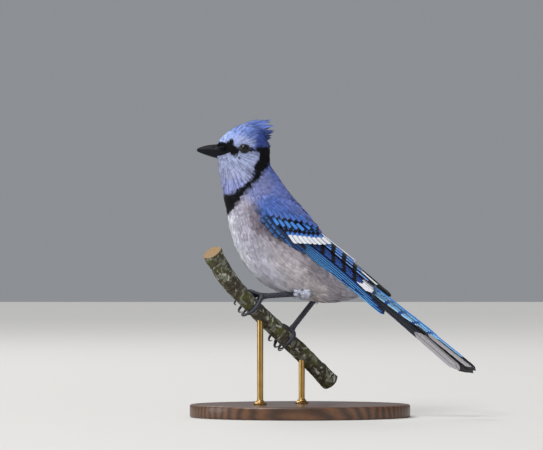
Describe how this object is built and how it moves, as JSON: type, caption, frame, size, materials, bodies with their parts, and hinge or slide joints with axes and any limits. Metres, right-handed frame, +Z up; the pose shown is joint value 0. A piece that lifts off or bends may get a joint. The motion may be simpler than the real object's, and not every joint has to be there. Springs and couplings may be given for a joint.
{
  "type": "bird model",
  "caption": "Life-size museum model of a blue jay gripping a cut length of sloping branch, held by short rods on a plain oval base.",
  "frame": {"origin": "centre of the base's underside", "axes": "+Z up, the bird faces -X, its left side is towards -Y and its middle plane is y = 0"},
  "size_m": [0.2242, 0.11, 0.2331],
  "materials": {
    "plumage_blue": "blue barred feathers",
    "plumage_grey": "soft grey and white body feathers",
    "horn": "smooth dark horn",
    "eye": "wet and dark",
    "leg_skin": "scaled dark skin",
    "bark": "rough bark with lichen",
    "base_wood": "satin varnished",
    "rod_brass": "satin"
  },
  "bodies": {
    "root": {"head": "plumage_blue", "crest": "plumage_blue", "neck": "plumage_grey", "torso": "plumage_grey", "bill_upper": "horn", "bill_lower": "horn", "eye_left": "eye", "eye_right": "eye", "wing_left": "plumage_blue", "wing_right": "plumage_blue", "tail": "plumage_blue", "thigh_left": "plumage_grey", "thigh_right": "plumage_grey", "tarsus_left": "leg_skin", "tarsus_right": "leg_skin", "foot_left": "leg_skin", "foot_right": "leg_skin", "perch_branch": "bark", "stand_base": "base_wood", "stand_rod_front": "rod_brass", "stand_rod_rear": "rod_brass"}
  },
  "joints": []
}
